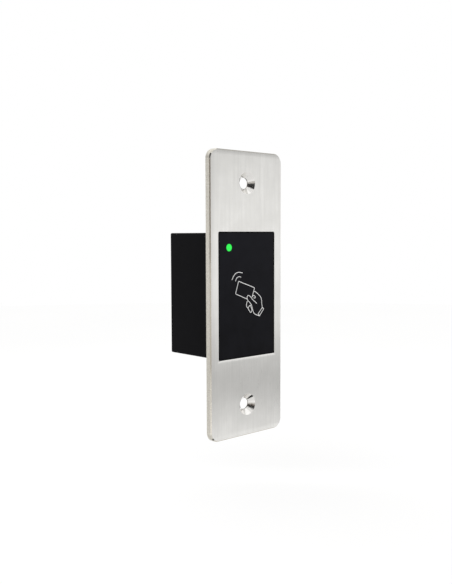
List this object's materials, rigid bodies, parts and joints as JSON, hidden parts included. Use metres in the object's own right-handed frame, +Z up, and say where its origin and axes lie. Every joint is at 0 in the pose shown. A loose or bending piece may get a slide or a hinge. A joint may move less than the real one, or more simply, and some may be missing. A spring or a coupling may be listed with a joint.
{
  "type": "flush-mount rfid card reader",
  "caption": "Flush-mount RFID card reader: a brushed stainless faceplate with countersunk screw holes, a black reading panel with a status light, and a sealed electronics box behind it.",
  "frame": {"origin": "middle of the faceplate's back face, in the plane of the wall, halfway between the two screw holes", "axes": "+Z up along the faceplate's length, +X to the right seen from the room, +Y into the wall, so the reading panel faces -Y"},
  "size_m": [0.04, 0.0303, 0.115],
  "materials": {
    "stainless_plate": "brushed",
    "steel_fasteners": "satin",
    "black_housing": "matte",
    "cover_plastic": "matte",
    "front_panel": "satin",
    "panel_print": "matte",
    "adhesive_film": "matte",
    "black_gasket": "matte",
    "light_guide": "gloss",
    "clear_lens": "gloss",
    "brass_insert": "satin",
    "header_plastic": "satin",
    "tinned_pins": "satin",
    "circuit_board": "satin",
    "bobbin_plastic": "matte",
    "copper_winding": "satin",
    "ferrite": "matte",
    "green_lamp": "gloss",
    "clear_lamp": "gloss",
    "moulded_chip": "matte",
    "metal_can": "satin",
    "ceramic_body": "matte"
  },
  "bodies": {
    "root": {"faceplate": "stainless_plate", "faceplate_studs": "steel_fasteners", "stud_washers": "steel_fasteners", "stud_nuts": "steel_fasteners", "housing_gasket": "black_gasket", "housing": "black_housing", "front_panel": "front_panel", "panel_adhesive": "adhesive_film", "led_light_guide": "light_guide", "rear_cover": "cover_plastic", "rear_cover_gasket": "black_gasket", "rear_cover_screws": "steel_fasteners", "cover_inserts": "brass_insert", "tamper_window": "clear_lens", "connector_header": "header_plastic", "connector_pins": "tinned_pins", "main_pcb": "circuit_board", "pcb_screws": "steel_fasteners", "antenna_bobbin": "bobbin_plastic", "antenna_coil": "copper_winding", "antenna_pins": "tinned_pins", "ferrite_sheet": "ferrite", "status_led": "green_lamp", "status_led_leads": "tinned_pins", "light_sensor": "clear_lamp", "light_sensor_leads": "tinned_pins", "buzzer": "moulded_chip", "buzzer_pins": "tinned_pins", "microcontroller": "moulded_chip", "microcontroller_leads": "tinned_pins", "reader_chip": "moulded_chip", "reader_chip_leads": "tinned_pins", "crystal": "metal_can", "electrolytic_capacitors": "metal_can", "capacitor_bases": "moulded_chip", "voltage_regulator": "moulded_chip", "power_inductor": "ferrite", "protection_diodes": "moulded_chip", "transistors": "moulded_chip", "chip_resistors": "moulded_chip", "chip_capacitors": "ceramic_body"}
  },
  "joints": []
}
